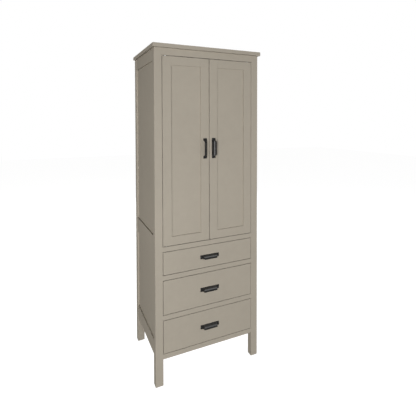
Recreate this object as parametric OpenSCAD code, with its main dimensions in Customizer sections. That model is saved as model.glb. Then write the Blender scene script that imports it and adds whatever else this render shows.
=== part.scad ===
// Pantry cabinet: a pair of framed doors over three drawers, standing on four
// corner posts. Millimetres, +Z up, doors and drawers face -Y.
// The origin is on the floor, midway across the width and the overall depth.

/* [Cabinet] */
// Height from the floor to the top of the slab
total_h = 1829; // [1750:1:1950]
// Width across the outer faces of the posts
body_w = 632; // [560:1:760]
// Depth from the face frame to the back of the rear posts
body_d = 454; // [448:1:500]
// Clear height under the front bottom rail
leg_clear = 144; // [110:1:160]

/* [Top slab] */
// Thickness of the slab
slab_t = 21; // [16:1:28]
// How far the slab passes the face frame
slab_front = 17; // [5:1:21]
// How far the slab passes each side
slab_side = 10; // [2:1:20]

/* [Frame] */
// Width of each corner post, side to side
post_w = 42; // [38:1:50]
// Depth of each corner post, front to back
post_d = 35; // [32:1:41]
// Height of the rails between the front openings
rail_h = 26.5; // [24:0.5:32]
// Height of the front rail under the slab
top_rail_h = 37.5; // [30:0.5:45]
// Height of the bottom drawer's opening
bottom_open_h = 184; // [165:1:210]
// Height of the middle drawer's opening
middle_open_h = 189; // [170:1:210]
// Height of the top drawer's opening
top_open_h = 128; // [115:1:150]
// Gap around each drawer front
drawer_gap = 2.6; // [2:0.1:4]
// Gap between the doors and the frame
door_gap = 2.8; // [2.6:0.1:4]
// Gap between the two doors
centre_gap = 3.6; // [2.6:0.1:5]

/* [Sides and back] */
// How far the side panels lie behind the outer faces of the posts
side_recess = 10; // [8:1:14]
// Thickness of the side panels
side_panel_t = 12; // [11:1:14]
// How far the side rails lie behind the outer faces of the posts
side_rail_in = 2.5; // [0:0.5:4]
// How much higher the side bottom rails lie than the front one
side_lift = 15; // [10:1:24]
// Height of the side bottom rails
side_bottom_h = 77; // [50:1:90]
// How far the side middle rails reach below the rail under the doors
side_middle_drop = 6.5; // [0:0.5:12]
// Height of the side middle rails
side_middle_h = 88.5; // [60:0.5:110]
// Height of the side top rails
side_top_h = 64; // [50:1:90]

/* [Doors] */
// Thickness of the door frames and drawer fronts
front_t = 20; // [19:1:21]
// Width of the door stiles
stile_w = 49; // [44:1:56]
// Height of the door rails
door_rail_h = 47; // [44:1:60]
// How far each door panel lies behind the face of its frame
door_recess = 6; // [3:0.5:7]
// Distance from a door's outer edge to its pivot
pivot_in = 20; // [19:0.5:21]
// Height of the middle of the door pulls
door_pull_z = 1270; // [1100:5:1400]

/* [Inside] */
// Height of the lower shelf's underside
lower_shelf_z = 990; // [900:2:1110]
// Height of the middle shelf's underside
middle_shelf_z = 1246; // [1140:2:1360]
// Height of the upper shelf's underside
upper_shelf_z = 1502; // [1390:2:1560]
// Thickness of the shelves
shelf_t = 18; // [15:1:22]

/* [Drawers] */
// Height of the bottom drawer's box
bottom_box_h = 140; // [110:5:155]
// Height of the middle drawer's box
middle_box_h = 145; // [110:5:160]
// Height of the top drawer's box
top_box_h = 90; // [75:5:100]
// Depth of the drawer boxes behind the fronts
box_d = 390; // [385:1:390]
// Thickness of the drawer box boards
box_t = 12; // [10:1:15]
// Room on each side of a box for its slide
slide_room = 13; // [12.7:0.1:14]

/* [Pulls] */
// Length of a pull over its ears
pull_len = 113; // [109:1:117]
// Height of a pull, across its hood
pull_h = 21; // [19:1:24]
// How far a pull stands out
pull_out = 22; // [21:1:26]
// Distance between the two screws of a pull
pull_screws = 96; // [95:0.5:97]

/* [Hidden] */

// Sides of the two mirrored halves
LEFT = -1;
RIGHT = 1;
// Drawers, as indices into drawer_open_h and box_h
BOTTOM = 0;
MIDDLE = 1;
TOP = 2;
drawer_open_h = [bottom_open_h, middle_open_h, top_open_h];
box_h = [bottom_box_h, middle_box_h, top_box_h];
shelf_z = [lower_shelf_z, middle_shelf_z, upper_shelf_z];

$fn = 48;
cut = 1;                // how far a cutting shape passes the face it cuts

// Colours
paint = "#a39a89";
raw_wood = "#c9a877";
black_metal = "#2b2b2d";
steel = "#b9bcc0";
dark_plastic = "#33302d";

// Planes of the body
front_y = (pull_out - body_d) / 2;
back_y = front_y + body_d;
left_x = -body_w / 2;
post_in = body_w / 2 - post_w;          // inner face of a post, from the middle
panel_out = body_w / 2 - side_recess;   // outer face of a side panel
panel_in = panel_out - side_panel_t;    // inner face of a side panel
inside_y0 = front_y + post_d;           // back of the front posts
inside_y1 = back_y - post_d;            // front of the back posts
slab_z = total_h - slab_t;              // underside of the slab

// Joinery
groove_d = 8;
tenon_l = 10;
tenon_t = 11;
tenon_shoulder = 4;

// Front openings and rails, from the floor up
function open_z(i) = rail_h + (i == BOTTOM ? leg_clear : open_z(i - 1) + drawer_open_h[i - 1]);
sill_z = open_z(TOP) + drawer_open_h[TOP];
door_open_z0 = sill_z + rail_h;
door_open_z1 = slab_z - top_rail_h;
side_bottom_z = leg_clear + side_lift;
side_middle_z = sill_z - side_middle_drop;

// Feet
glide_t = 2;
glide_r = 14;
glide_stem_r = 2.4;
glide_stem_hole_r = 2.5;
glide_stem_l = 14;
glide_stem_room = 1;    // left empty above the stem

// Boards inside
floor_t = 16;
base_t = 12;
shelf_end_gap = 1.5;
shelf_front_gap = 8;
shelf_back_gap = 4;

// Shelf pins and their rows of holes
pin_r = 2.4;
pin_hole_r = 2.5;
pin_hole_d = 9;
pin_in = 8;
pin_out = 9;
pin_collar_r = 4;
pin_collar_t = 1.2;
pin_row_in = 45;        // from the ends of a shelf's depth
hole_step = 32;

// Back frame
back_rail_t = 20;
back_panel_t = 6;
back_panel_y = inside_y1 + (back_rail_t - back_panel_t) / 2;
back_middle_h = 33;

// Doors
door_x0 = left_x + post_w + door_gap;
door_x1 = -centre_gap / 2;
door_z0 = door_open_z0 + door_gap;
door_z1 = door_open_z1 - door_gap;
door_groove = 10;
door_panel_t = 6;
door_panel_y = front_y + door_recess;
pull_x = door_x1 - stile_w / 2;

// Pivots
pivot_x = door_x0 + pivot_in;
pivot_y = front_y + front_t / 2;
pivot_r = 3.5;
pivot_bore_r = 3.55;
pivot_reach = 12;
pivot_end_room = 1;     // left empty past the end of a pivot
bush_r = 6;
bush_hole_r = 6.05;
bush_l = 14;
collar_r = 6;
collar_gap = 0.4;       // below each door
top_collar_gap = 0.8;   // above each door

// Magnetic catches and their strike plates
catch_w = 34;
catch_h = 13;
catch_d = 12;
catch_in = 10;          // from the middle of the cabinet
strike_t = 1;
strike_gap = 0.3;
strike_in = 2;          // from each end of the catch
strike_drop = 1;        // from the top of the door
pole_t = 1.5;
pole_out = 0.9;
pole_in = 3;            // from each end of the catch
pole_rise = 2;          // from the underside of the catch

// Drawers
box_lift = 18;          // from the opening's lower edge to the box
box_x = post_in - slide_room;
box_y0 = front_y + front_t;
box_y1 = box_y0 + box_d;
bottom_t = 6;
bottom_lift = 10;
bottom_groove = 6;
glue_line = 0.05;       // between the sides of a drawer box and its ends
cleat_h = 60;

// Slides: three nested channels
slide_l = 380;
slide_in = 4;           // behind the drawer front's back face
sheet = 1.2;
outer_h = 45;
outer_w = 9;
lip_h = 3;
middle_h = 35;
middle_u = 2.4;
middle_w = 8.4;
inner_h = 27;
inner_w = 8;

// Pulls
ear_l = 12;
ear_t = 4;
hood_wall = 2.2;
hood_lean = 6.2;        // how far the closed side leans in below its edge
hood_end_lean = 5.5;    // how far each end leans in
edge_out = 5.4;         // broad edge between the closed side and the front
edge_up = 4.1;
hood_short = 0.8;       // how far the open side stops short of the ears' edge
screw_r = 1.95;
screw_hole_r = 2.25;
thread_r = 2;
thread_hole_d = 3.3;
thread_d = 3;
head_r = 4;
head_t = 2.4;
head_sink_r = 1.2;
head_sink_d = 1.4;

// A board between two corners, given as spans along X, Y and Z
module board(xs, ys, zs) {
    translate([xs[0], ys[0], zs[0]])
        cube([xs[1] - xs[0], ys[1] - ys[0], zs[1] - zs[0]]);
}

// What is drawn on the left appears on the given side
module on_side(side) {
    if (side == LEFT) children();
    else mirror([1, 0, 0]) children();
}

module on_both_sides() {
    on_side(LEFT) children();
    on_side(RIGHT) children();
}

// A cylinder along Y from y0 to y1
module rod_y(x, z, r, y0, y1) {
    translate([x, y1, z]) rotate([90, 0, 0]) cylinder(r = r, h = y1 - y0);
}

// A cylinder along X, on the left, from x0 to x1
module rod_x(y, z, r, x0, x1) {
    translate([x0, y, z]) rotate([0, 90, 0]) cylinder(r = r, h = x1 - x0);
}

// ---------- Carcass ----------

module top_slab() {
    color(paint)
        board([left_x - slab_side, body_w / 2 + slab_side],
              [front_y - slab_front, back_y], [slab_z, total_h]);
}

module post_blank(y0) {
    difference() {
        board([left_x, -post_in], [y0, y0 + post_d], [glide_t, slab_z]);
        translate([left_x + post_w / 2, y0 + post_d / 2, glide_t - cut])
            cylinder(r = glide_stem_hole_r, h = glide_stem_l + glide_stem_room + cut);
    }
}

// Spans of a front rail's tenon beyond the inner face of the left post
function tenon_x() = [-post_in - tenon_l, -post_in];
function tenon_y() = [front_y + tenon_t, front_y + 2 * tenon_t];
function tenon_z(z, h) = [z + tenon_shoulder, z + h - tenon_shoulder];

// Heights and positions of the front rails, as [z, h]
front_rails = [
    [leg_clear, rail_h],
    [open_z(MIDDLE) - rail_h, rail_h],
    [open_z(TOP) - rail_h, rail_h],
    [sill_z, rail_h],
    [door_open_z1, top_rail_h]
];

module post_front(side) {
    color(paint) on_side(side) difference() {
        post_blank(front_y);
        board([-panel_out, -panel_in], [inside_y0 - groove_d, inside_y0 + cut],
              [side_bottom_z, slab_z + cut]);
        for (rail = front_rails)
            board(tenon_x() + [0, cut], tenon_y(), tenon_z(rail[0], rail[1]));
    }
}

module post_back(side) {
    color(paint) on_side(side) difference() {
        post_blank(inside_y1);
        board([-panel_out, -panel_in], [inside_y1 - cut, inside_y1 + groove_d],
              [side_bottom_z, slab_z + cut]);
        board([-post_in - groove_d, -post_in + cut],
              [back_panel_y, back_panel_y + back_panel_t], [side_bottom_z, slab_z + cut]);
    }
}

module front_rail(rail) {
    board([-post_in, post_in], [front_y, inside_y0], [rail[0], rail[0] + rail[1]]);
    on_both_sides() board(tenon_x() + [0, cut], tenon_y(), tenon_z(rail[0], rail[1]));
}

// Holes for the two door pivots of a rail, starting at z and running up
module pivot_holes(z) {
    on_both_sides() translate([pivot_x, pivot_y, z])
        cylinder(r = pivot_bore_r, h = pivot_reach + pivot_end_room + cut);
}

module top_rail() {
    color(paint) difference() {
        front_rail(front_rails[4]);
        pivot_holes(door_open_z1 - cut);
    }
}

module door_sill_rail() {
    color(paint) difference() {
        front_rail(front_rails[3]);
        pivot_holes(door_open_z0 - pivot_reach - pivot_end_room);
    }
}

module drawer_rails() {
    color(paint) for (i = [1, 2]) front_rail(front_rails[i]);
}

module front_bottom_rail() {
    color(paint) front_rail(front_rails[0]);
}

// The side rails are planted on the panel, between the posts
module side_rails(side) {
    spans = [
        [side_bottom_z, side_bottom_z + side_bottom_h],
        [side_middle_z, side_middle_z + side_middle_h],
        [slab_z - side_top_h, slab_z]
    ];
    color(paint) on_side(side)
        for (zs = spans)
            board([left_x + side_rail_in, -panel_out], [inside_y0, inside_y1], zs);
}

shelf_y0 = inside_y0 + shelf_front_gap;
shelf_y1 = inside_y1 - shelf_back_gap;
pin_ys = [shelf_y0 + pin_row_in, shelf_y1 - pin_row_in];

module side_panel(side) {
    color(paint) on_side(side) difference() {
        board([-panel_out, -panel_in], [inside_y0 - groove_d, inside_y1 + groove_d],
              [side_bottom_z, slab_z]);
        for (z = shelf_z, step = [-1, 0, 1], y = pin_ys)
            rod_x(y, z - pin_r + step * hole_step, pin_hole_r,
                  -panel_in - pin_hole_d, -panel_in + cut);
    }
}

// Heights of the back rails, from the bottom one up
back_spans = [
    [side_bottom_z, side_bottom_z + side_bottom_h],
    [door_open_z0 - back_middle_h, door_open_z0],
    [slab_z - side_top_h, slab_z]
];
back_panel_spans = [
    [back_spans[0][1] - groove_d, back_spans[1][0] + groove_d],
    [back_spans[1][1] - groove_d, back_spans[2][0] + groove_d]
];

module back_panel_boards() {
    for (zs = back_panel_spans)
        board([-post_in - groove_d, post_in + groove_d],
              [back_panel_y, back_panel_y + back_panel_t], zs);
}

module back_rails() {
    color(paint) difference() {
        for (zs = back_spans) {
            board([-post_in, post_in], [inside_y1, inside_y1 + back_rail_t], zs);
            board([-post_in - groove_d, post_in + groove_d],
                  [back_panel_y, back_panel_y + back_panel_t], zs);
        }
        back_panel_boards();
    }
}

module back_panels() {
    color(paint) back_panel_boards();
}

module inside_board(z0, t) {
    board([-panel_in, panel_in], [inside_y0, inside_y1], [z0, z0 + t]);
}

module cupboard_floor() {
    color(paint) inside_board(door_open_z0 - floor_t, floor_t);
}

module base_panel() {
    color(paint) inside_board(side_bottom_z, base_t);
}

module shelf(z) {
    color(paint)
        board([-panel_in + shelf_end_gap, panel_in - shelf_end_gap],
              [shelf_y0, shelf_y1], [z, z + shelf_t]);
}

module shelf_pin(y, z) {
    rod_x(y, z, pin_r, -panel_in - pin_in, -panel_in + pin_out);
    rod_x(y, z, pin_collar_r, -panel_in, -panel_in + pin_collar_t);
}

module shelf_pins() {
    color(steel) on_both_sides()
        for (z = shelf_z, y = pin_ys) difference() {
            shelf_pin(y, z - pin_r);
            board([-panel_in, -panel_in + pin_out], [y - 2 * pin_r, y + 2 * pin_r],
                  [z, z + pin_collar_r]);
        }
}

module glide() {
    cylinder(r = glide_r, h = glide_t);
    cylinder(r = glide_stem_r, h = glide_t + glide_stem_l);
}

module foot_glides() {
    color(dark_plastic) on_both_sides() for (y = [front_y, inside_y1])
        translate([left_x + post_w / 2, y + post_d / 2, 0]) glide();
}

// ---------- Door hardware on the frame ----------

module pivot_pins() {
    color(steel) on_both_sides() {
        translate([pivot_x, pivot_y, door_open_z0 - pivot_reach])
            cylinder(r = pivot_r, h = 2 * pivot_reach + door_gap);
        translate([pivot_x, pivot_y, door_open_z0])
            cylinder(r = collar_r, h = door_gap - collar_gap);
        translate([pivot_x, pivot_y, door_z1 - pivot_reach])
            cylinder(r = pivot_r, h = 2 * pivot_reach + door_gap);
        translate([pivot_x, pivot_y, door_z1 + top_collar_gap])
            cylinder(r = collar_r, h = door_gap - top_collar_gap);
    }
}

catch_x = [-catch_in - catch_w, -catch_in];
catch_y0 = front_y + front_t + strike_t + strike_gap;

module door_catches() {
    color(dark_plastic) on_both_sides() {
        board(catch_x, [catch_y0 + pole_out, catch_y0 + catch_d],
              [door_open_z1 - catch_h, door_open_z1]);
        for (z = [door_open_z1 - catch_h + pole_rise, door_z1 - 2 * pole_t])
            board(catch_x + [pole_in, -pole_in], [catch_y0, catch_y0 + catch_d / 2],
                  [z, z + pole_t]);
    }
}

// ---------- Doors, drawn on the left ----------

module door_frame_groove_cutter() {
    board([door_x0 + stile_w - door_groove, door_x1 - stile_w + door_groove],
          [door_panel_y, door_panel_y + door_panel_t], [door_z0 - cut, door_z1 + cut]);
}

module door_outer_stile(side) {
    color(paint) on_side(side) difference() {
        board([door_x0, door_x0 + stile_w], [front_y, front_y + front_t], [door_z0, door_z1]);
        door_frame_groove_cutter();
        for (z = [door_z0 - cut, door_z1 - bush_l])
            translate([pivot_x, pivot_y, z]) cylinder(r = bush_hole_r, h = bush_l + cut);
    }
}

module door_inner_stile(side) {
    color(paint) on_side(side) difference() {
        board([door_x1 - stile_w, door_x1], [front_y, front_y + front_t], [door_z0, door_z1]);
        door_frame_groove_cutter();
        for (dz = [-1, 1])
            rod_y(pull_x, door_pull_z + dz * pull_screws / 2, screw_hole_r,
                  front_y - cut, front_y + front_t + cut);
    }
}

module door_panel_board() {
    board([door_x0 + stile_w - door_groove, door_x1 - stile_w + door_groove],
          [door_panel_y, door_panel_y + door_panel_t],
          [door_z0 + door_rail_h - door_groove, door_z1 - door_rail_h + door_groove]);
}

module door_rails(side) {
    color(paint) on_side(side) difference() {
        for (z = [door_z0, door_z1 - door_rail_h]) {
            board([door_x0 + stile_w, door_x1 - stile_w], [front_y, front_y + front_t],
                  [z, z + door_rail_h]);
            board([door_x0 + stile_w - door_groove, door_x1 - stile_w + door_groove],
                  [door_panel_y, door_panel_y + door_panel_t], [z, z + door_rail_h]);
        }
        door_panel_board();
    }
}

module door_panel(side) {
    color(paint) on_side(side) door_panel_board();
}

module pivot_bush(z) {
    translate([pivot_x, pivot_y, z]) difference() {
        cylinder(r = bush_r, h = bush_l);
        translate([0, 0, -cut]) cylinder(r = pivot_bore_r, h = bush_l + 2 * cut);
    }
}

// A pan-head screw through the front of a door or drawer into a pull's ear
module pull_screw(x, z, head_y) {
    difference() {
        union() {
            rod_y(x, z, screw_r, front_y - thread_d, head_y + head_t / 2);
            rod_y(x, z, head_r, head_y, head_y + head_t);
        }
        rod_y(x, z, head_sink_r, head_y + head_t - head_sink_d, head_y + head_t + cut);
    }
}

module door_fittings(side) {
    color(steel) on_side(side) {
        pivot_bush(door_z0);
        pivot_bush(door_z1 - bush_l);
        board(catch_x + [strike_in, -strike_in], [front_y + front_t, front_y + front_t + strike_t],
              [door_open_z1 - catch_h, door_z1 - strike_drop]);
        for (dz = [-1, 1])
            pull_screw(pull_x, door_pull_z + dz * pull_screws / 2, front_y + front_t);
    }
}

// ---------- Pulls ----------

// Outline of the hood seen from its end, as [out, up]. t is how far it lies
// inside the outer surface, past is how far it passes the open side and the back.
function hood_profile(t, past) = [
    [past, pull_h / 2 - t],
    [edge_out - pull_out, pull_h / 2 - hood_lean - t],
    [t - pull_out, pull_h / 2 - hood_lean - edge_up - t / 2],
    [t - pull_out, hood_short - pull_h / 2 - past],
    [past, hood_short - pull_h / 2 - past]
];

// Outline of the hood seen from its closed side, as [along, out]
function hood_plan(t, past) = let (half = pull_len / 2 - ear_l - t) [
    [-half, past],
    [hood_end_lean - half, -pull_out],
    [half - hood_end_lean, -pull_out],
    [half, past]
];

module hood_solid(t, past) {
    intersection() {
        translate([-pull_len / 2, 0, 0]) rotate([90, 0, 90])
            linear_extrude(pull_len) polygon(hood_profile(t, past));
        translate([0, 0, -pull_h])
            linear_extrude(2 * pull_h) polygon(hood_plan(t, past));
    }
}

// A cup pull against the plane y = 0, closed side up, standing out towards -Y
module cup_pull() {
    difference() {
        union() {
            hood_solid(0, 0);
            for (x0 = [-pull_len / 2, pull_len / 2 - ear_l - hood_wall])
                board([x0, x0 + ear_l + hood_wall], [-ear_t, 0], [-pull_h / 2, pull_h / 2]);
        }
        hood_solid(hood_wall, cut);
        for (dx = [-1, 1]) rod_y(dx * pull_screws / 2, 0, thread_r, -thread_hole_d, cut);
    }
}

module door_pull(side) {
    color(black_metal) on_side(side)
        translate([pull_x, front_y, door_pull_z]) rotate([0, 90, 0]) cup_pull();
}

// ---------- Drawers ----------

function pull_z(i) = open_z(i) + drawer_open_h[i] / 2;
function box_z(i) = open_z(i) + box_lift;
function slide_z(i) = box_z(i) + box_h[i] / 2;

module drawer_front(i) {
    color(paint) difference() {
        board([-post_in + drawer_gap, post_in - drawer_gap], [front_y, front_y + front_t],
              [open_z(i) + drawer_gap, open_z(i) + drawer_open_h[i] - drawer_gap]);
        for (dx = [-1, 1])
            rod_y(dx * pull_screws / 2, pull_z(i), screw_hole_r, front_y - cut, box_y0 + cut);
    }
}

module drawer_bottom_board(i) {
    inset = box_t - bottom_groove;
    board([-box_x + inset, box_x - inset], [box_y0 + inset, box_y1 - inset],
          [box_z(i) + bottom_lift, box_z(i) + bottom_lift + bottom_t]);
}

// Two sides, with the two ends between them
module drawer_box(i) {
    zs = [box_z(i), box_z(i) + box_h[i]];
    end_x = box_x - box_t - glue_line;
    color(raw_wood) difference() {
        union() {
            on_both_sides() board([-box_x, -box_x + box_t], [box_y0, box_y1], zs);
            for (y0 = [box_y0, box_y1 - box_t])
                board([-end_x, end_x], [y0, y0 + box_t], zs);
        }
        drawer_bottom_board(i);
        for (dx = [-1, 1])
            rod_y(dx * pull_screws / 2, pull_z(i), screw_hole_r, box_y0 - cut, box_y0 + box_t + cut);
    }
}

module drawer_bottom(i) {
    color(raw_wood) drawer_bottom_board(i);
}

module drawer_pull(i) {
    color(black_metal) translate([0, front_y, pull_z(i)]) cup_pull();
}

module drawer_screws(i) {
    color(steel) for (dx = [-1, 1])
        pull_screw(dx * pull_screws / 2, pull_z(i), box_y0 + box_t);
}

// ---------- Slides, drawn on the left ----------

// A channel of the slide, open towards +u: its web stands on u = 0
module channel(h, w) {
    difference() {
        translate([0, -h / 2]) square([w, h]);
        translate([sheet, sheet - h / 2]) square([w, h - 2 * sheet]);
    }
}

// Slides run back from just behind the drawer front
module slide_run(i) {
    translate([-post_in, box_y0 + slide_in + slide_l, slide_z(i)]) rotate([90, 0, 0])
        linear_extrude(slide_l) children();
}

module slide_outers() {
    color(steel) on_both_sides() for (i = [BOTTOM, MIDDLE, TOP]) slide_run(i) {
        channel(outer_h, outer_w);
        for (v = [-outer_h / 2, outer_h / 2 - lip_h])
            translate([outer_w - sheet, v]) square([sheet, lip_h]);
    }
}

module slide_middle(i) {
    color(steel) on_both_sides() slide_run(i)
        translate([middle_u, 0]) channel(middle_h, middle_w);
}

module slide_inner(i) {
    color(steel) on_both_sides() slide_run(i)
        translate([slide_room, 0]) mirror([1, 0]) channel(inner_h, inner_w);
}

module slide_cleats() {
    color(raw_wood) on_both_sides() for (i = [BOTTOM, MIDDLE, TOP])
        board([-panel_in, -post_in], [inside_y0, inside_y1],
              [slide_z(i) - cleat_h / 2, slide_z(i) + cleat_h / 2]);
}

// ---------- Nodes ----------

top_slab();
post_front(LEFT);  // post_front_left
post_front(RIGHT);  // post_front_right
post_back(LEFT);  // post_back_left
post_back(RIGHT);  // post_back_right
top_rail();
door_sill_rail();
drawer_rails();
front_bottom_rail();
side_rails(LEFT);  // side_rails_left
side_rails(RIGHT);  // side_rails_right
side_panel(LEFT);  // side_panel_left
side_panel(RIGHT);  // side_panel_right
back_rails();
back_panels();
cupboard_floor();
base_panel();
shelf(lower_shelf_z);  // lower_shelf
shelf(middle_shelf_z);  // middle_shelf
shelf(upper_shelf_z);  // upper_shelf
shelf_pins();
slide_cleats();
slide_outers();
pivot_pins();
door_catches();
foot_glides();
door_outer_stile(LEFT);  // left_door_outer_stile
door_inner_stile(LEFT);  // left_door_inner_stile
door_rails(LEFT);  // left_door_rails
door_panel(LEFT);  // left_door_panel
door_pull(LEFT);  // left_door_pull
door_fittings(LEFT);  // left_door_fittings
door_outer_stile(RIGHT);  // right_door_outer_stile
door_inner_stile(RIGHT);  // right_door_inner_stile
door_rails(RIGHT);  // right_door_rails
door_panel(RIGHT);  // right_door_panel
door_pull(RIGHT);  // right_door_pull
door_fittings(RIGHT);  // right_door_fittings
drawer_front(BOTTOM);  // bottom_drawer_front
drawer_box(BOTTOM);  // bottom_drawer_box
drawer_bottom(BOTTOM);  // bottom_drawer_bottom
drawer_pull(BOTTOM);  // bottom_drawer_pull
drawer_screws(BOTTOM);  // bottom_drawer_screws
slide_inner(BOTTOM);  // bottom_drawer_slide_inner
slide_middle(BOTTOM);  // bottom_drawer_slide_middle
drawer_front(MIDDLE);  // middle_drawer_front
drawer_box(MIDDLE);  // middle_drawer_box
drawer_bottom(MIDDLE);  // middle_drawer_bottom
drawer_pull(MIDDLE);  // middle_drawer_pull
drawer_screws(MIDDLE);  // middle_drawer_screws
slide_inner(MIDDLE);  // middle_drawer_slide_inner
slide_middle(MIDDLE);  // middle_drawer_slide_middle
drawer_front(TOP);  // top_drawer_front
drawer_box(TOP);  // top_drawer_box
drawer_bottom(TOP);  // top_drawer_bottom
drawer_pull(TOP);  // top_drawer_pull
drawer_screws(TOP);  // top_drawer_screws
slide_inner(TOP);  // top_drawer_slide_inner
slide_middle(TOP);  // top_drawer_slide_middle
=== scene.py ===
# The looks of the pantry cabinet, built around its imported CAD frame.
# Places are in metres, +Z up, with the doors and drawers towards -Y.

import math
from collections import namedtuple

import bmesh
import bpy
from mathutils import Matrix, Vector


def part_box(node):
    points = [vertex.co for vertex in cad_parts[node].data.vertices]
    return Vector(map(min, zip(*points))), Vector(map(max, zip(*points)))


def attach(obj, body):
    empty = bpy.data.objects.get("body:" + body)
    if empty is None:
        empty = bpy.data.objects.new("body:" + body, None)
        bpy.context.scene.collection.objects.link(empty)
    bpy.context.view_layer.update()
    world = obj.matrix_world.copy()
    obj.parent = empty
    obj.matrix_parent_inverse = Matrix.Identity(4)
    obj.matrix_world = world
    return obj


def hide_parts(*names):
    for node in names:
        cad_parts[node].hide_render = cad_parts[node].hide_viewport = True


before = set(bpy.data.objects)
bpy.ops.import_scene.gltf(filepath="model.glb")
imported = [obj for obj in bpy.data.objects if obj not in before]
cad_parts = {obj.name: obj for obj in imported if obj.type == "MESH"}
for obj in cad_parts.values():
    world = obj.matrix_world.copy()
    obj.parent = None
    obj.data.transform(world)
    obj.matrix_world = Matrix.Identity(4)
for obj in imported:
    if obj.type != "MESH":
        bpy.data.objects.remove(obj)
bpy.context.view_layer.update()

MM = 0.001
X, Y, Z = 0, 1, 2


# ---------- Camera, stage and light ----------

CAMERA_PLACE = (-0.7831, -1.9168, 1.4263)
CAMERA_YAW = 24.5           # degrees to the right of +Y
CAMERA_PITCH = 1.503        # degrees below level
CAMERA_ROLL = 0.118
WHITE = (1, 1, 1, 1)
AMBIENT = (1.0, 0.97, 0.9, 1)
AMBIENT_STRENGTH = 0.06
GLOSSY_STRENGTH = 0.3
WARM = (1.0, 0.95, 0.87)
FLOOR_HALF = 12
FLOOR_GREY = 0.25
FLOOR_GLOW = 0.97


def make_camera():
    """An eye-level view from the left, with the horizon above the middle of the picture."""
    data = bpy.data.cameras.new("camera")
    data.sensor_fit = "VERTICAL"
    data.sensor_width = 24
    data.sensor_height = 36
    data.lens = 28.9
    data.shift_y = -0.1895
    data.clip_start = 0.05
    data.clip_end = 60
    data.dof.use_dof = False
    camera = bpy.data.objects.new("camera", data)
    bpy.context.scene.collection.objects.link(camera)
    yaw, pitch, roll = (math.radians(a) for a in (CAMERA_YAW, CAMERA_PITCH, CAMERA_ROLL))
    turn = Matrix.Rotation(-yaw, 4, "Z") @ Matrix.Rotation(math.pi / 2 - pitch, 4, "X")
    camera.matrix_world = Matrix.Translation(CAMERA_PLACE) @ turn @ Matrix.Rotation(-roll, 4, "Z")
    bpy.context.scene.camera = camera


def world_light(tree, colour, strength):
    """The shader of an even light from all round."""
    background = tree.nodes.new("ShaderNodeBackground")
    background.inputs["Color"].default_value = colour
    background.inputs["Strength"].default_value = strength
    return background.outputs[0]


def make_world():
    """White behind the object, a weak warm light all round it, and a brighter one in reflections."""
    world = bpy.data.worlds.new("studio")
    bpy.context.scene.world = world
    world.use_nodes = True
    tree = world.node_tree
    tree.nodes.clear()
    output = tree.nodes.new("ShaderNodeOutputWorld")
    ray = tree.nodes.new("ShaderNodeLightPath")
    shader = world_light(tree, AMBIENT, AMBIENT_STRENGTH)
    cases = (("Is Glossy Ray", AMBIENT, GLOSSY_STRENGTH), ("Is Camera Ray", WHITE, 1.0))
    for test, colour, strength in cases:
        mix = tree.nodes.new("ShaderNodeMixShader")
        tree.links.new(ray.outputs[test], mix.inputs["Fac"])
        tree.links.new(shader, mix.inputs[1])
        tree.links.new(world_light(tree, colour, strength), mix.inputs[2])
        shader = mix.outputs[0]
    tree.links.new(shader, output.inputs["Surface"])


def area_light(name, place, target, size, watts, colour=(1, 1, 1)):
    """A rectangular light at place that faces target and doesn't show in the picture."""
    data = bpy.data.lights.new(name, "AREA")
    data.shape = "RECTANGLE"
    data.size, data.size_y = size
    data.energy = watts
    data.color = colour
    light = bpy.data.objects.new(name, data)
    bpy.context.scene.collection.objects.link(light)
    light.location = place
    light.rotation_euler = (Vector(target) - Vector(place)).to_track_quat("-Z", "Y").to_euler()
    light.visible_camera = False
    return light


def make_lights():
    """A soft main light from the front left at mid height, and weaker ones round it."""
    middle = (0, 0, 1)
    # Name, place, target, size, watts and colour
    area_light("key", (-3.5, -4.8, 1.3), middle, (1.6, 1.6), 244)
    area_light("low_fill", (-0.88, -2.7, 0.5), (0, 0, 0.5), (1.3, 0.9), 22)
    area_light("left_fill", (-2.8, -0.25, 0.75), (0, 0, 0.8), (1.3, 1.1), 8, WARM)
    right_fill = area_light("right_fill", (1.6, -2.35, 1.2), middle, (1.3, 1.3), 15)
    right_fill.visible_glossy = False
    area_light("back", (0.9, 4.0, 1.5), middle, (1.8, 1.6), 130)
    area_light("back_right", (3.6, 2.6, 1.3), middle, (1.6, 1.6), 110)
    area_light("above", (0.3, 1.4, 4.2), (0, 0.2, 1.8), (1.6, 1.6), 60)
    # Cards that only show in glossy surfaces
    card_above = area_light("card_above", (0.9, -1.0, 3.4), (0, -0.2, 0.6), (1.8, 1.4), 24)
    card_left = area_light("card_left", (-3.2, -0.9, 1.1), middle, (1.6, 1.8), 40)
    for card in (card_above, card_left):
        card.visible_diffuse = False


def make_floor():
    """A pale floor that glows a little, so that it meets the white background without an edge."""
    mesh = bpy.data.meshes.new("floor")
    signs = ((-1, -1), (1, -1), (1, 1), (-1, 1))
    corners = [(x * FLOOR_HALF, y * FLOOR_HALF, 0) for x, y in signs]
    mesh.from_pydata(corners, [], [(0, 1, 2, 3)])
    floor = bpy.data.objects.new("floor", mesh)
    bpy.context.scene.collection.objects.link(floor)
    material = bpy.data.materials.new("floor_white")
    material.use_nodes = True
    shader = material.node_tree.nodes["Principled BSDF"]
    shader.inputs["Base Color"].default_value = (FLOOR_GREY, FLOOR_GREY, FLOOR_GREY, 1)
    shader.inputs["Roughness"].default_value = 1.0
    shader.inputs["Specular IOR Level"].default_value = 0.0
    shader.inputs["Emission Color"].default_value = WHITE
    shader.inputs["Emission Strength"].default_value = FLOOR_GLOW
    mesh.materials.append(material)
    floor.visible_diffuse = False
    floor.visible_glossy = False


# ---------- Materials ----------

GREIGE = (0.352, 0.3165, 0.262)
GREIGE_LIGHT = 1.03         # the paint's lightest and darkest tones, as shares of its colour
GREIGE_DARK = 0.965
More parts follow.
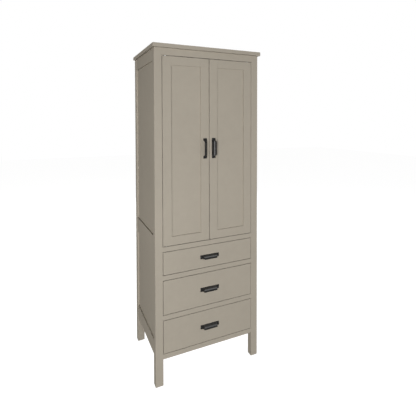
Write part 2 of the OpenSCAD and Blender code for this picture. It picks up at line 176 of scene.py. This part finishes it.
# Colour ramps, as places on them and colours
BIRCH = ((0.34, (0.47, 0.31, 0.165)), (0.5, (0.60, 0.43, 0.25)), (0.66, (0.69, 0.52, 0.33)))
BLACK = ((0.35, (0.009, 0.009, 0.0095)), (0.65, (0.013, 0.013, 0.0135)))
ZINC = ((0.35, (0.50, 0.52, 0.54)), (0.65, (0.64, 0.66, 0.68)))
PLASTIC = ((0.4, (0.026, 0.024, 0.022)), (0.6, (0.034, 0.031, 0.029)))
NOISE_LOW = 0.3             # noise seldom leaves these limits
NOISE_HIGH = 0.7


class Shade:
    """A Principled material, and short calls that add nodes to it."""

    def __init__(self, name):
        self.material = bpy.data.materials.new(name)
        self.material.use_nodes = True
        self.tree = self.material.node_tree
        self.shader = self.tree.nodes["Principled BSDF"]
        self.place = self.add("TexCoord").outputs["Object"]

    def add(self, kind, **settings):
        """A new shader node, with its settings."""
        made = self.tree.nodes.new("ShaderNode" + kind)
        for name, value in settings.items():
            setattr(made, name, value)
        return made

    def join(self, source, target):
        """Links an output to an input."""
        self.tree.links.new(source, target)

    def drawn_out(self, axis, share):
        """Coordinates squeezed to a share along an axis, so that noise is drawn out along it."""
        mapping = self.add("Mapping")
        mapping.inputs["Scale"].default_value = tuple(share if i == axis else 1.0 for i in range(3))
        self.join(self.place, mapping.inputs["Vector"])
        return mapping.outputs["Vector"]

    def noise(self, vector, scale, detail, roughness=0.5, distortion=0.0):
        """Noise with about scale features to the metre."""
        made = self.add("TexNoise")
        made.inputs["Scale"].default_value = scale
        made.inputs["Detail"].default_value = detail
        made.inputs["Roughness"].default_value = roughness
        made.inputs["Distortion"].default_value = distortion
        self.join(vector, made.inputs["Vector"])
        return made.outputs["Fac"]

    def ramp(self, fac, stops):
        """A colour ramp through (position, colour) stops."""
        made = self.add("ValToRGB")
        elements = made.color_ramp.elements
        while len(elements) < len(stops):
            elements.new(0.5)
        for element, (position, colour) in zip(elements, stops):
            element.position = position
            element.color = (*colour, 1)
        self.join(fac, made.inputs["Fac"])
        return made.outputs["Color"]

    def spread(self, fac, low, high):
        """Noise stretched to run from low to high."""
        made = self.add("MapRange")
        made.inputs["From Min"].default_value = NOISE_LOW
        made.inputs["From Max"].default_value = NOISE_HIGH
        made.inputs["To Min"].default_value = low
        made.inputs["To Max"].default_value = high
        self.join(fac, made.inputs["Value"])
        return made.outputs["Result"]

    def weighted(self, a, b, share):
        """A share of a, and the rest of b."""
        parts = self.add("Math", operation="ADD")
        for socket, source, weight in zip(parts.inputs, (a, b), (share, 1 - share)):
            product = self.add("Math", operation="MULTIPLY")
            product.inputs[1].default_value = weight
            self.join(source, product.inputs[0])
            self.join(product.outputs[0], socket)
        return parts.outputs[0]

    def bump(self, height, distance, strength, under=None):
        """A surface raised by height times distance, on top of another bump where one is given."""
        made = self.add("Bump")
        made.inputs["Distance"].default_value = distance
        made.inputs["Strength"].default_value = strength
        self.join(height, made.inputs["Height"])
        if under is not None:
            self.join(under, made.inputs["Normal"])
        return made.outputs["Normal"]

    def surface(self, colour, roughness, normal):
        """The finished material."""
        self.join(colour, self.shader.inputs["Base Color"])
        self.join(roughness, self.shader.inputs["Roughness"])
        self.join(normal, self.shader.inputs["Normal"])
        return self.material


def greige_paint(name, axis):
    """Satin sprayed paint over wood whose grain runs along axis."""
    s = Shade(name)
    cloud = s.noise(s.place, scale=2.2, detail=2)
    mottle = s.noise(s.place, scale=26, detail=4, roughness=0.6)
    light = tuple(c * GREIGE_LIGHT for c in GREIGE)
    dark = tuple(c * GREIGE_DARK for c in GREIGE)
    stops = ((0.36, dark), (0.5, GREIGE), (0.64, light))
    colour = s.ramp(s.weighted(cloud, mottle, share=0.6), stops)
    roughness = s.spread(s.noise(s.place, scale=90, detail=3), low=0.5, high=0.58)
    grain = s.noise(s.drawn_out(axis, share=0.12), scale=520, detail=3, roughness=0.55)
    wood = s.bump(grain, distance=0.05 * MM, strength=0.5)
    orange_peel = s.noise(s.place, scale=420, detail=2, roughness=0.4)
    normal = s.bump(orange_peel, distance=0.06 * MM, strength=0.7, under=wood)
    s.shader.inputs["Specular IOR Level"].default_value = 0.25
    return s.surface(colour, roughness, normal)


def bare_wood(name, axis):
    """Clear-finished birch, with its grain along axis."""
    s = Shade(name)
    rings = s.noise(s.drawn_out(axis, share=0.06), scale=34, detail=4, roughness=0.6, distortion=0.6)
    fibres = s.noise(s.drawn_out(axis, share=0.02), scale=900, detail=3, roughness=0.7)
    colour = s.ramp(s.weighted(rings, fibres, share=0.7), BIRCH)
    roughness = s.spread(fibres, low=0.42, high=0.58)
    normal = s.bump(fibres, distance=0.08 * MM, strength=0.6)
    return s.surface(colour, roughness, normal)


def black_metal():
    """A satin black coating on cast metal."""
    s = Shade("black_metal")
    colour = s.ramp(s.noise(s.place, scale=160, detail=3), BLACK)
    roughness = s.spread(s.noise(s.place, scale=700, detail=2), low=0.27, high=0.36)
    coating = s.noise(s.place, scale=1400, detail=2)
    normal = s.bump(coating, distance=0.04 * MM, strength=0.5)
    return s.surface(colour, roughness, normal)


def zinc_steel():
    """Bright zinc plate, with faint rolling marks from front to back."""
    s = Shade("zinc_steel")
    s.shader.inputs["Metallic"].default_value = 1.0
    colour = s.ramp(s.noise(s.place, scale=60, detail=3), ZINC)
    rolling = s.noise(s.drawn_out(Y, share=0.04), scale=1500, detail=3)
    roughness = s.spread(rolling, low=0.26, high=0.42)
    normal = s.bump(rolling, distance=0.03 * MM, strength=0.5)
    return s.surface(colour, roughness, normal)


def dark_plastic():
    """Moulded plastic with a fine matte grain."""
    s = Shade("dark_plastic")
    colour = s.ramp(s.noise(s.place, scale=120, detail=2), PLASTIC)
    grain = s.noise(s.place, scale=1800, detail=2)
    roughness = s.spread(grain, low=0.45, high=0.6)
    normal = s.bump(grain, distance=0.08 * MM, strength=0.7)
    return s.surface(colour, roughness, normal)


# ---------- Mesh building, in millimetres until a mesh is placed ----------

SHARP_ANGLE = 35            # degrees, above which an edge is shaded as sharp
EDGE_SEGMENTS = 3           # of the rounding along an edge


def loft(rings):
    """A closed form through rings of equally many points, flat at both ends."""
    form = bmesh.new()
    rows = [[form.verts.new(point) for point in ring] for ring in rings]
    for a, b in zip(rows, rows[1:]):
        for i in range(len(a)):
            j = (i + 1) % len(a)
            form.faces.new((a[i], a[j], b[j], b[i]))
    form.faces.new(rows[0][::-1])
    form.faces.new(rows[-1])
    bmesh.ops.recalc_face_normals(form, faces=form.faces)
    return form


def board(low, high):
    """A square-edged board between two corners."""
    (x0, y0, z0), (x1, y1, z1) = low, high
    return loft([[(x, y0, z0), (x, y1, z0), (x, y1, z1), (x, y0, z1)] for x in (x0, x1)])


def joined(forms):
    """One form that holds several."""
    whole = bmesh.new()
    for form in forms:
        part = bpy.data.meshes.new("part")
        form.to_mesh(part)
        form.free()
        whole.from_mesh(part)
        bpy.data.meshes.remove(part)
    return whole


def as_mesh(form, name):
    """A mesh made of a form, which is used up."""
    mesh = bpy.data.meshes.new(name)
    form.to_mesh(mesh)
    form.free()
    return mesh


def finished(form, name):
    """A mesh in metres, smooth but for its sharp edges."""
    mesh = as_mesh(form, name)
    mesh.transform(Matrix.Scale(MM, 4))
    mesh.shade_smooth()
    mesh.set_sharp_from_angle(angle=math.radians(SHARP_ANGLE))
    return mesh


def as_object(form, name):
    """An object made of a form, for modifiers to work on."""
    obj = bpy.data.objects.new(name, as_mesh(form, name))
    bpy.context.scene.collection.objects.link(obj)
    return obj


def round_edges(obj, width, segments, angle):
    """Rounds the edges that turn by more than angle, in degrees."""
    bevel = obj.modifiers.new("round_edges", "BEVEL")
    bevel.width = width
    bevel.segments = segments
    bevel.limit_method = "ANGLE"
    bevel.angle_limit = math.radians(angle)
    bevel.harden_normals = True
    bevel.use_clamp_overlap = True


def carved(name, form, steps, width, segments, angle):
    """A mesh in metres, of a form joined with or cut by others, with its edges rounded."""
    obj = as_object(form, name)
    tools = []
    for operation, other in steps:
        tool = as_object(other, name + "_tool")
        tools.append(tool)
        modifier = obj.modifiers.new(operation, "BOOLEAN")
        modifier.operation = operation
        modifier.solver = "EXACT"
        modifier.object = tool
    round_edges(obj, width, segments, angle)
    bpy.context.view_layer.update()
    evaluated = obj.evaluated_get(bpy.context.evaluated_depsgraph_get())
    made = bpy.data.meshes.new_from_object(evaluated)
    made.name = name
    made.transform(Matrix.Scale(MM, 4))
    for used in (obj, *tools):
        mesh = used.data
        bpy.data.objects.remove(used)
        bpy.data.meshes.remove(mesh)
    return made


def place_piece(name, mesh, matrix, body, material, replaced):
    """A piece of the object, carried to its place by matrix, riding on a body and standing for nodes."""
    piece = bpy.data.objects.new(name, mesh)
    bpy.context.scene.collection.objects.link(piece)
    piece.matrix_world = matrix
    if not mesh.materials:
        mesh.materials.append(material)
    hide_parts(*replaced)
    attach(piece, body)


# ---------- Cup pulls ----------

EAR_L = 12          # length of each fixing ear
EAR_T = 4           # its thickness by the hood
EAR_TIP_T = 3.2     # and at its end
HOOD_WALL = 2.2     # thickness of the hood
HOOD_LEAN = 6.2     # how far the closed side leans in
END_LEAN = 5.5      # how far each end leans in
EDGE_OUT = 5.4      # broad edge between the closed side and the front
EDGE_UP = 4.1
LIP = 2.8           # thickness of the front's finger lip
HOOD_SHORT = 0.8    # how far the open side stops short of the ears' edge
PULL_PAST = 2       # how far a cutting form passes an open side
PULL_EDGE = 0.9     # rounding of the cast edges
PULL_EDGE_SEGMENTS = 4
PULL_EDGE_ANGLE = 20


def pull_mesh(length, out, height):
    """A cast cup pull against y = 0, closed side up, standing out towards -Y."""
    top = height / 2
    rim = HOOD_SHORT - top

    def hood(t, past):
        """The hood's outer form, moved in by t and reaching past its open sides."""
        profile = [(-past, top - t),
                   (out - EDGE_OUT, top - HOOD_LEAN - t),
                   (out - t, top - HOOD_LEAN - EDGE_UP - t / 2),
                   (out - t, rim - past),
                   (-past, rim - past)]
        half = length / 2 - EAR_L - t
        return loft([[(side * (half - END_LEAN * o / out), -o, up) for o, up in profile]
                     for side in (-1, 1)])

    def ear(side):
        """A flat fixing ear, from its tip to a little inside the hood."""
        tip = side * length / 2
        root = side * (length / 2 - EAR_L - HOOD_WALL)
        return loft([[(x, 0, -top), (x, -t, -top), (x, -t, top), (x, 0, top)]
                     for x, t in ((tip, EAR_TIP_T), (root, EAR_T))])

    def lip():
        """A thicker bead along the front's open edge."""
        half = length / 2 - EAR_L - END_LEAN - HOOD_WALL / 2
        section = [(out - LIP, rim), (out - HOOD_WALL / 2, rim),
                   (out - HOOD_WALL / 2, rim + 1.5 * LIP), (out - LIP, rim + LIP / 2)]
        return loft([[(x, -o, up) for o, up in section] for x in (-half, half)])

    steps = [("UNION", ear(-1)),
             ("UNION", ear(1)),
             ("DIFFERENCE", hood(HOOD_WALL, PULL_PAST)),
             ("UNION", lip())]
    return carved("cup_pull", hood(0, 0), steps, PULL_EDGE, PULL_EDGE_SEGMENTS, PULL_EDGE_ANGLE)


def make_pulls(material):
    """Five pulls of one mesh: upright on the doors, level on the drawers."""
    low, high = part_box("bottom_drawer_pull")
    length, out, height = ((high[i] - low[i]) / MM for i in (X, Y, Z))
    mesh = pull_mesh(length, out, height)
    turns = {"left_door": Matrix.Rotation(math.pi / 2, 4, "Y"),
             "right_door": Matrix.Rotation(-math.pi / 2, 4, "Y")}
    for body in ("left_door", "right_door", "bottom_drawer", "middle_drawer", "top_drawer"):
        node = body + "_pull"
        low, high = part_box(node)
        centre = Vector(((low[X] + high[X]) / 2, high[Y], (low[Z] + high[Z]) / 2))
        matrix = Matrix.Translation(centre) @ turns.get(body, Matrix())
        place_piece(body + "_cup_pull", mesh, matrix, body, material, [node])


# ---------- Drawer boxes ----------

DRAWERS = ("bottom", "middle", "top")
BOX_T = 12          # thickness of the boards
TAIL_PITCH = 31     # rough height of one tail and one pin
TAIL_SHARE = 0.37   # half a tail's width at the end of its board, as a share of the pitch
TAIL_SLOPE = 1 / 7
BOARD_EDGE = 0.5    # rounding of the boards' edges
BOARD_EDGE_ANGLE = 30
GRAIN_STEP = (0.37, 0.53, 0.71)     # metres, which give each board its own stretch of grain


def tails(height):
    """Heights of the tails' middles, and half a tail's width at its end and at its root."""
    count = round(height / TAIL_PITCH)
    pitch = height / count
    wide = TAIL_SHARE * pitch
    return [pitch * (i + 0.5) for i in range(count)], wide, wide - BOX_T * TAIL_SLOPE


def box_board(name, form):
    """A mesh of one board of a drawer box."""
    return carved(name, form, [], BOARD_EDGE, EDGE_SEGMENTS, BOARD_EDGE_ANGLE)


def tail_board(length, height):
    """A drawer side along y, with dovetails at both ends."""
    middles, wide, narrow = tails(height)
    front = [(BOX_T, 0)]
    for z in middles:
        front += [(BOX_T, z - narrow), (0, z - wide), (0, z + wide), (BOX_T, z + narrow)]
    front.append((BOX_T, height))
    outline = front + [(length - y, z) for y, z in reversed(front)]
    return box_board("drawer_side", loft([[(x, y, z) for y, z in outline] for x in (0, BOX_T)]))


def pin_board(width, height):
    """A drawer end along x, its outer face on y = 0, with pins between the sides' tails."""
    middles, wide, narrow = tails(height)
    inner = width / 2 - BOX_T
    forms = [board((-inner, 0, 0), (inner, BOX_T, height))]
    for low, high in zip([0] + middles, middles + [height]):
        outer_low, inner_low = (low + wide, low + narrow) if low else (0, 0)
        outer_high, inner_high = (high - wide, high - narrow) if high < height else (height, height)
        section = [(0, outer_low), (0, outer_high), (BOX_T, inner_high), (BOX_T, inner_low)]
        for side in (-1, 1):
            forms.append(loft([[(side * x, y, z) for y, z in section] for x in (inner, width / 2)]))
    return box_board("drawer_end", joined(forms))


def make_drawer_boxes(woods):
    """Four dovetailed boards for each drawer box."""
    grain_step = Vector(GRAIN_STEP)
    count = 0
    for drawer in DRAWERS:
        node = drawer + "_drawer_box"
        low, high = (Vector(corner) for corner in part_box(node))
        width, length, height = ((high[i] - low[i]) / MM for i in (X, Y, Z))
        side, end = tail_board(length, height), pin_board(width, height)
        right = Matrix.Translation((high.x - BOX_T * MM, low.y, low.z))
        back = Matrix.Translation((0, high.y, low.z)) @ Matrix.Rotation(math.pi, 4, "Z")
        boards = [("side_left", side, Matrix.Translation(low), Y),
                  ("side_right", side, right, Y),
                  ("end_front", end, Matrix.Translation((0, low.y, low.z)), X),
                  ("end_back", end, back, X)]
        for name, mesh, place, axis in boards:
            count += 1
            own = mesh.copy()
            own.transform(Matrix.Translation(grain_step * count))
            place = place @ Matrix.Translation(-grain_step * count)
            piece_name = drawer + "_box_" + name
            place_piece(piece_name, own, place, drawer + "_drawer", woods[axis], [node])


# ---------- Drawer slides ----------

SHEET = 1.2         # thickness of the bent sheet
BEND = 2.0          # reach of a bend along the sheet's middle line, from its corner
BEND_SHARE = 0.9    # the most of a straight stretch that a bend takes up
BEND_STEPS = 5
# The upper half of each sheet's middle line: how far in from the cleat, and how high
OUTER_RUN = [(8.4, 19.5), (8.4, 21.9), (0.6, 21.9)]
MIDDLE_RUN = [(10.8, 16.9), (3.0, 16.9)]
INNER_RUN = [(5.0, 12.9), (12.4, 12.9)]
OUTER_BALLS = (5.2, 19.4, 1.75)     # how far in, how high, and the radius
INNER_BALLS = (8.4, 14.9, 1.3)
BALL_STEP = 13
BALL_COUNT = 8
BALL_SEGMENTS = 12
CAGE_T = 0.7
CAGE_HALF_W = 1.1   # of the cage that holds the balls, as shares of a ball's radius
CAGE_PAST = 2
SCREW_R = 3.4
SCREW_T = 1.0
SCREW_SIDES = 20
SCREW_DOME = [(0, 1.0), (0.5, 0.97), (0.85, 0.75), (1.0, 0.4)]      # shares of SCREW_T, SCREW_R
SCREW_SPOTS = (0.1, 0.5, 0.9)       # along a slide, as shares of its length

# The side that a slide is on (-1 or 1), its cleat's distance from the cabinet's middle plane,
# its ends, and the height of its middle
Track = namedtuple("Track", "side wall front back z")


def rounded(run, reach):
    """A line of points with a curve in place of each corner."""
    points = [run[0]]
    for before, corner, after in zip(run, run[1:], run[2:]):
        a, c, b = Vector(before), Vector(corner), Vector(after)
        bend = min(reach, (a - c).length * BEND_SHARE, (b - c).length * BEND_SHARE)
        start = c + (a - c).normalized() * bend
        end = c + (b - c).normalized() * bend
        for i in range(BEND_STEPS + 1):
            t = i / BEND_STEPS
            points.append(tuple((1 - t) ** 2 * start + 2 * t * (1 - t) * c + t ** 2 * end))
    return points + [run[-1]]


def strip_outline(run):
    """The outline of a bent sheet that follows a line and its mirror image below it."""
    line = rounded(run + [(u, -v) for u, v in reversed(run)], BEND)
    one_side, other_side = [], []
    for i, (u, v) in enumerate(line):
        along = Vector(line[min(i + 1, len(line) - 1)]) - Vector(line[max(i - 1, 0)])
        normal = Vector((-along.y, along.x)).normalized() * SHEET / 2
        one_side.append((u + normal.x, v + normal.y))
        other_side.append((u - normal.x, v - normal.y))
    return one_side + other_side[::-1]


def channel(track, run):
    """A sheet bent along run and its mirror image, as long as the slide."""
    outline = strip_outline(run)
    return loft([[(track.side * (track.wall - u), y, track.z + v) for u, v in outline]
                 for y in (track.front, track.back)])


def ball(place, radius):
    """A small steel ball."""
    form = bmesh.new()
    bmesh.ops.create_uvsphere(form, u_segments=BALL_SEGMENTS, v_segments=BALL_SEGMENTS // 2,
                              radius=radius, matrix=Matrix.Translation(place))
    return form


def race(track, spot, near_front):
    """Two rows of balls in flat cages, above and below the middle, near the front or the back."""
    u, v, radius = spot
    start = track.front + BALL_STEP if near_front else track.back - BALL_STEP * (BALL_COUNT + 1)
    stop = start + BALL_STEP * (BALL_COUNT - 1)
    forms = []
    for up in (-1, 1):
        x = track.side * (track.wall - u)
        height = track.z + up * v
        low = (x - radius * CAGE_HALF_W, start - radius * CAGE_PAST, height - CAGE_T / 2)
        high = (x + radius * CAGE_HALF_W, stop + radius * CAGE_PAST, height + CAGE_T / 2)
        forms.append(board(low, high))
        forms += [ball((x, start + BALL_STEP * i, height), radius) for i in range(BALL_COUNT)]
    return forms


def screw_head(x_face, out, y, z):
    """A low domed head on a face at x_face, standing out along x, where out is -1 or 1."""
    turn = [2 * math.pi * i / SCREW_SIDES for i in range(SCREW_SIDES)]
    rings = []
    for rise, r in SCREW_DOME:
        x = x_face + out * SCREW_T * rise
        rings.append([(x, y + SCREW_R * r * math.cos(a), z + SCREW_R * r * math.sin(a)) for a in turn])
    return loft(rings)


def screw_heads(track, x_face, out):
    """The screw heads along one face of a slide."""
    spots = [track.front + (track.back - track.front) * share for share in SCREW_SPOTS]
    return [screw_head(x_face, out, y, track.z) for y in spots]


def make_slide(drawer, word, track, steel):
    """The channels, balls and screw heads of one slide, each on the body that it moves with."""
    side = track.side
    inner = drawer + "_drawer_slide_inner"
    middle = drawer + "_drawer_slide_middle"
    outer_web = side * (track.wall - SHEET)
    inner_web = side * (track.wall - INNER_RUN[-1][0] + SHEET / 2)
    outer_forms = [channel(track, OUTER_RUN)] + screw_heads(track, outer_web, -side)
    middle_forms = [channel(track, MIDDLE_RUN)]
    ball_forms = race(track, OUTER_BALLS, False) + race(track, INNER_BALLS, True)
    inner_forms = [channel(track, INNER_RUN)] + screw_heads(track, inner_web, side)
    parts = [("outer", "cabinet", "slide_outers", outer_forms),
             ("middle", drawer + "_slide", middle, middle_forms),
             ("balls", drawer + "_slide", middle, ball_forms),
             ("inner", drawer + "_drawer", inner, inner_forms)]
    for part, body, node, forms in parts:
        mesh = finished(joined(forms), "slide_" + part)
        place_piece(f"{drawer}_slide_{part}_{word}", mesh, Matrix(), body, steel, [node])


def make_slides(steel):
    """A slide on each side of each drawer."""
    low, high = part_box("slide_outers")
    for drawer in DRAWERS:
        bottom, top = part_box(drawer + "_drawer_slide_inner")
        z = (bottom[Z] + top[Z]) / 2 / MM
        for side, word in ((-1, "left"), (1, "right")):
            track = Track(side, high[X] / MM, low[Y] / MM, high[Y] / MM, z)
            make_slide(drawer, word, track, steel)


# ---------- Finishes on the CAD nodes ----------

# Rounding of the edges in each finish, in millimetres
NODE_EDGES = {"greige_paint": 0.5, "bare_wood": 0.5, "black_metal": 0.5, "zinc_steel": 0.15,
              "dark_plastic": 0.4}
NODE_EDGE_ANGLE = 40
WELD = 0.01         # millimetres within which points of a node are one


def paint_grain(node):
    """The axis that the grain under the paint runs along, told from the node's name."""
    if "side_rails" in node:
        return Y
    upright_panel = "panel" in node and node != "base_panel"
    return Z if "stile" in node or "post" in node or upright_panel else X


def soften(obj, width):
    """Rounds the edges of a CAD node, by modifiers that leave its mesh as it is."""
    weld = obj.modifiers.new("weld", "WELD")
    weld.merge_threshold = WELD * MM
    round_edges(obj, width * MM, EDGE_SEGMENTS, NODE_EDGE_ANGLE)


def finish_nodes(woods, others):
    """Gives every CAD node its material and rounded edges."""
    paints = {axis: greige_paint("greige_paint_" + "xyz"[axis], axis) for axis in (X, Y, Z)}
    for name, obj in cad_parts.items():
        slot = obj.material_slots[0]
        finish = slot.name
        if finish == "greige_paint":
            slot.material = paints[paint_grain(name)]
        elif finish == "bare_wood":
            slot.material = woods[Y if "cleat" in name else X]
        else:
            slot.material = others[finish]
        soften(obj, NODE_EDGES[finish])


make_camera()
make_world()
make_floor()
make_lights()
woods = {axis: bare_wood("bare_wood_" + "xyz"[axis], axis) for axis in (X, Y)}
others = {"black_metal": black_metal(), "zinc_steel": zinc_steel(), "dark_plastic": dark_plastic()}
finish_nodes(woods, others)
make_pulls(others["black_metal"])
make_drawer_boxes(woods)
make_slides(others["zinc_steel"])

# Plain colours, with no film look
bpy.context.scene.view_settings.view_transform = "Standard"
